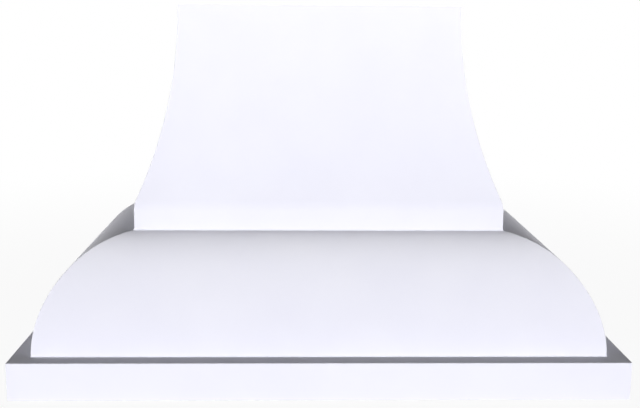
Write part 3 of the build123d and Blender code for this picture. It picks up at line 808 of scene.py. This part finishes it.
finish_nodes(poplar["X"], "neck_back_rail")
finish_nodes(pine["X"], "neck_plate_front")
finish_nodes(pine["Y"], "neck_plate_left", "neck_plate_right")
chimney_rib_count = 3
chimney_screw_length = 0.038
neck_plate_low, neck_plate_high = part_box("neck_plate_front")
neck_plate_inset = (neck_plate_low.y + neck_plate_high.y) / 2 - front_y
neck_plate_places = rib_places("chimney", chimney_rib_count, neck_plate_inset, neck_plate_low.z, -1)
drive_screws("neck_plate_screws", neck_plate_places, chimney_screw_length, seed=7)

# Bell skins. Three sheets of 9 mm bending plywood, pressed over the ribs in two arcs that meet
# at a slope of 45 degrees, and mitred on the hips. They are filled, sanded and sprayed outside.
# The inside and the cut edges are bare, and the edges show three thick plies.

join_slope, top_slope = radians(45), radians(86)
lower_steps, upper_steps = 18, 20
bell_run, bell_rise = bell_high.y - bell_low.y, bell_high.z - bell_low.z


def bending_plywood(name, along):
    """Bending plywood: a pale, open-pored rotary veneer with broad, soft figure along its
    fibres, and on a cut edge three plies, the middle one dark end grain. The plies follow the
    depth attribute, 0 outside and 1 inside."""
    pale_veneer, warm_veneer, core_end = linear("#E4C9A2"), linear("#D2AE83"), linear("#8F6A45")
    half_core = 0.17
    finish = new_finish(name)
    _, tree, _, place = finish
    grain = add(tree, "ShaderNodeMapping", {"Vector": place, "Rotation": grain_turns[along]})
    band = veneer_bands(tree, grain, length=300, width=38, count=7, Detail=4, Distortion=0.6)
    veneer = add(tree, "ShaderNodeMix", {0: band, 6: pale_veneer, 7: warm_veneer}, data_type="RGBA")
    depth = add(tree, "ShaderNodeAttribute", attribute_name="depth").outputs["Fac"]
    from_middle = add(tree, "ShaderNodeMath", [depth, 0.5], operation="SUBTRACT")
    from_middle = add(tree, "ShaderNodeMath", [from_middle], operation="ABSOLUTE")
    core = add(tree, "ShaderNodeMath", [from_middle, half_core], operation="LESS_THAN")
    sockets = {0: core, 6: veneer.outputs[2], 7: core_end}
    colour = add(tree, "ShaderNodeMix", sockets, data_type="RGBA")
    pores = drawn_out(tree, grain, length=35, width=1.4, Detail=3)
    shades, roughnesses = (0.86, 1.06), (0.8, 0.66)
    return bare_wood(finish, colour.outputs[2], pores, shades, roughnesses)


lower_run, upper_run = 1 - cos(join_slope), cos(join_slope) - cos(top_slope)
lower_rise, upper_rise = sin(join_slope), sin(top_slope) - sin(join_slope)
determinant = lower_run * upper_rise - upper_run * lower_rise
lower_radius = (bell_run * upper_rise - bell_rise * upper_run) / determinant
upper_radius = (bell_rise * lower_run - bell_run * lower_rise) / determinant
join = pi - join_slope
lower_centre = Vector((bell_foot_inset + lower_radius, apron_top))
upper_centre = lower_centre + (lower_radius - upper_radius) * Vector((cos(join), sin(join)))


def bell_layer(depth):
    """The bell in section at this depth under its face, from the ledge up to the neck."""
    end = acos((neck_inset - upper_centre.x) / (upper_radius - depth))
    lower = arc(lower_centre, lower_radius - depth, pi, join, lower_steps)
    return lower + arc(upper_centre, upper_radius - depth, join, end, upper_steps)[1:]


def skin_section(layer):
    """The closed section of a skin from its outer and inner layers."""
    outer = [(*p, 0, 1, 0) for p in layer(0)]
    inner = [(*p, 1, 0, 0) for p in layer(skin_thickness)]
    return outer + inner[::-1]


skin_plywood = {along: bending_plywood("bending_plywood_" + ways[along], along) for along in "XY"}
swept_round("bell_skin", skin_section(bell_layer), skin_plywood)

# Beads of painter's caulk in the corners where the bell stands on the ledge and where it meets
# the neck, tooled hollow and sprayed with the boards. Each runs round in three strokes.

foot_bead_radius, neck_bead_radius = 0.002, 0.004
foot_bead_steps, neck_bead_steps = 5, 6
bead_bite = Vector((0.0003, -0.0006))
foot_bead_centre = Vector((bell_foot_inset - foot_bead_radius, apron_top + foot_bead_radius))
neck_bead_inset = neck_inset - neck_bead_radius
neck_bead_lean = asin((upper_centre.x - neck_bead_inset) / (upper_radius + neck_bead_radius))
neck_bead_height = upper_centre.y + (upper_radius + neck_bead_radius) * cos(neck_bead_lean)
neck_bead_centre = Vector((neck_bead_inset, neck_bead_height))


def bead(joint, hollow, corner):
    """A bead from its hollow face, drawn from below up, and the corner that it is pressed into."""
    section = [(*point, 0, 1, 0) for point in (*hollow, corner + bead_bite)]
    for side, word in side_names.items():
        name = f"{joint}_bead_{word}"
        piece = settled(swept_member(name, section, side, lacquer), name)
        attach(piece, "root")


foot_hollow = arc(foot_bead_centre, foot_bead_radius, -pi / 2, 0, foot_bead_steps)
bead("ledge", foot_hollow, Vector((bell_foot_inset, apron_top)))
neck_hollow = arc(neck_bead_centre, neck_bead_radius, neck_bead_lean - pi / 2, 0, neck_bead_steps)
bead("neck", neck_hollow, Vector((neck_inset, bell_high.z)))

# Chimney ribs, top plates and hanging rail. Eight plywood ribs stand on the neck plates, and
# three sawn pine plates tie their tops. The planed poplar rail at the wall carries the cover on
# two wall screws; it and the neck rail are screwed into the ends of the plates.

rail_screw_half_pair = 0.009
finish_ribs("chimney", chimney_rib_count)
finish_nodes(pine["X"], "top_plate_front")
finish_nodes(pine["Y"], "top_plate_left", "top_plate_right")
finish_nodes(poplar["X"], "hanging_rail")
top_plate_low, top_plate_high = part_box("top_plate_front")
top_plate_inset = (top_plate_low.y + top_plate_high.y) / 2 - front_y
top_plate_places = rib_places("chimney", chimney_rib_count, top_plate_inset, top_plate_high.z, 1)
drive_screws("top_plate_screws", top_plate_places, chimney_screw_length, seed=11)
rail_places = [
    ((side * (half_width - inset - offset), wall_y, middle_of(plate, 2)), (0, 1, 0))
    for plate, inset in (("neck_plate_front", neck_plate_inset), ("top_plate_front", top_plate_inset))
    for side in (-1, 1)
    for offset in (-rail_screw_half_pair, rail_screw_half_pair)
]
drive_screws("rail_screws", rail_places, chimney_screw_length, seed=13)

# Chimney skins. Three sheets of the same bending plywood, flared to the foot in one arc that is
# upright at the top, mitred on the hips, sprayed outside and bare inside and on the cut edges.

chimney_steps = 30


def chimney_layer(depth):
    """The chimney in section at this depth under its face, from the neck up to the top."""
    radius = chimney_radius + depth
    if depth:
        return arc(chimney_centre, radius, -asin(chimney_rise / radius), 0, chimney_steps)
    start, end = pi - seam_slope, pi - shoulder_slope
    shoulder = arc(shoulder_centre, shoulder_radius, start, end, shoulder_steps)
    return shoulder[:-1] + arc(chimney_centre, radius, -shoulder_slope, 0, chimney_steps)


swept_round("chimney_skin", skin_section(chimney_layer), skin_plywood)

# Studio. A plain pale floor that whitens away from the object, a white surround, one broad low
# lamp in front, and weaker ones at the sides, behind, and high behind for what faces up.

floor_reach, floor_drop = 40, 0.0004
fade_start, fade_end, least_glow = 0.7, 3, 0.93
surround_light = 0.05
floor_places = [(-1, -1), (1, -1), (1, 1), (-1, 1)]
floor_corners = [(x * floor_reach, y * floor_reach, -floor_drop) for x, y in floor_places]
floor = hosted("floor", floor_corners, faces=[(0, 1, 2, 3)])


def seen_directly(tree):
    """1 for camera, glossy and transmission rays, and 0 for the light that falls on things."""
    path = add(tree, "ShaderNodeLightPath").outputs
    seen = add(tree, "ShaderNodeMath", [path["Is Camera Ray"], path["Is Glossy Ray"]], operation="MAXIMUM")
    return add(tree, "ShaderNodeMath", [seen, path["Is Transmission Ray"]], operation="MAXIMUM")


paper = bpy.data.materials.new("white_paper_floor")
paper.use_nodes = True
tree = paper.node_tree
matt = wire(tree, tree.nodes["Principled BSDF"], {"Base Color": linear("#F4F4F4"), "Roughness": 0.9})
glow = add(tree, "ShaderNodeEmission", {"Color": (1, 1, 1, 1), "Strength": 1})
spot = add(tree, "ShaderNodeTexCoord").outputs["Object"]
away = add(tree, "ShaderNodeVectorMath", [spot], operation="LENGTH").outputs["Value"]
fade = add(tree, "ShaderNodeMapRange", {0: away, 1: fade_start, 2: fade_end, 3: least_glow, 4: 1})
fade.interpolation_type = "SMOOTHSTEP"
share = add(tree, "ShaderNodeMath", [seen_directly(tree), fade], operation="MULTIPLY")
mixed = add(tree, "ShaderNodeMixShader", [share, matt, glow])
wire(tree, tree.nodes["Material Output"], {"Surface": mixed})
floor.data.materials.append(paper)

world = bpy.data.worlds.new("white_surround")
bpy.context.scene.world = world
world.use_nodes = True
tree = world.node_tree
sockets = {0: seen_directly(tree), 1: 0, 2: 1, 3: surround_light, 4: 1}
strength = add(tree, "ShaderNodeMapRange", sockets)
wire(tree, tree.nodes["Background"], {"Color": linear("#FFFFFF"), "Strength": strength})


def soft_lamp(name, place, target, width, height, power):
    """An area lamp that faces a point."""
    data = bpy.data.lights.new(name, "AREA")
    data.shape, data.size, data.size_y, data.energy = "RECTANGLE", width, height, power
    lamp = bpy.data.objects.new(name, data)
    bpy.context.scene.collection.objects.link(lamp)
    lamp.location = place
    lamp.rotation_euler = (Vector(target) - Vector(place)).to_track_quat("-Z", "Y").to_euler()


# The front lamp lies low and tips up, so that the chimney gets as much light as the apron.
middle = (0, 0, 0.35)
soft_lamp("front_lamp", (0, -8, 0.25), (0, 0, 15), width=4, height=0.4, power=1170)
soft_lamp("left_lamp", (-8, 0, 0.35), middle, width=3, height=0.6, power=110)
soft_lamp("right_lamp", (8, 0, 0.35), middle, width=3, height=0.6, power=110)
soft_lamp("wall_lamp", (0, 8, 0.3), middle, width=4, height=0.6, power=240)
soft_lamp("high_lamp", (0, 6, 6), middle, width=4, height=1, power=90)

# Camera, at the photograph's angle. It looks at the wall, a little to the right and down, with
# a small roll. Its lens and sensor are in mm.

camera_place = (-0.0489, -2.1686, 0.7277)
yaw, pitch, roll = radians(1.381), radians(10.3209), radians(0.3875)
focal_length, sensor_width = 56.167, 36
forward = Vector((sin(yaw) * cos(pitch), cos(yaw) * cos(pitch), -sin(pitch)))
level = Vector((cos(yaw), -sin(yaw), 0))
down = forward.cross(level)
camera_x = cos(roll) * level - sin(roll) * down
camera_y = -(sin(roll) * level + cos(roll) * down)
axes = Matrix((camera_x, camera_y, -forward)).transposed()
camera_data = bpy.data.cameras.new("camera")
camera_data.lens = focal_length
camera_data.sensor_width = sensor_width
camera = bpy.data.objects.new("camera", camera_data)
bpy.context.scene.collection.objects.link(camera)
camera.matrix_world = Matrix.Translation(camera_place) @ axes.to_4x4()
bpy.context.scene.camera = camera
bpy.context.scene.view_settings.view_transform = "Standard"
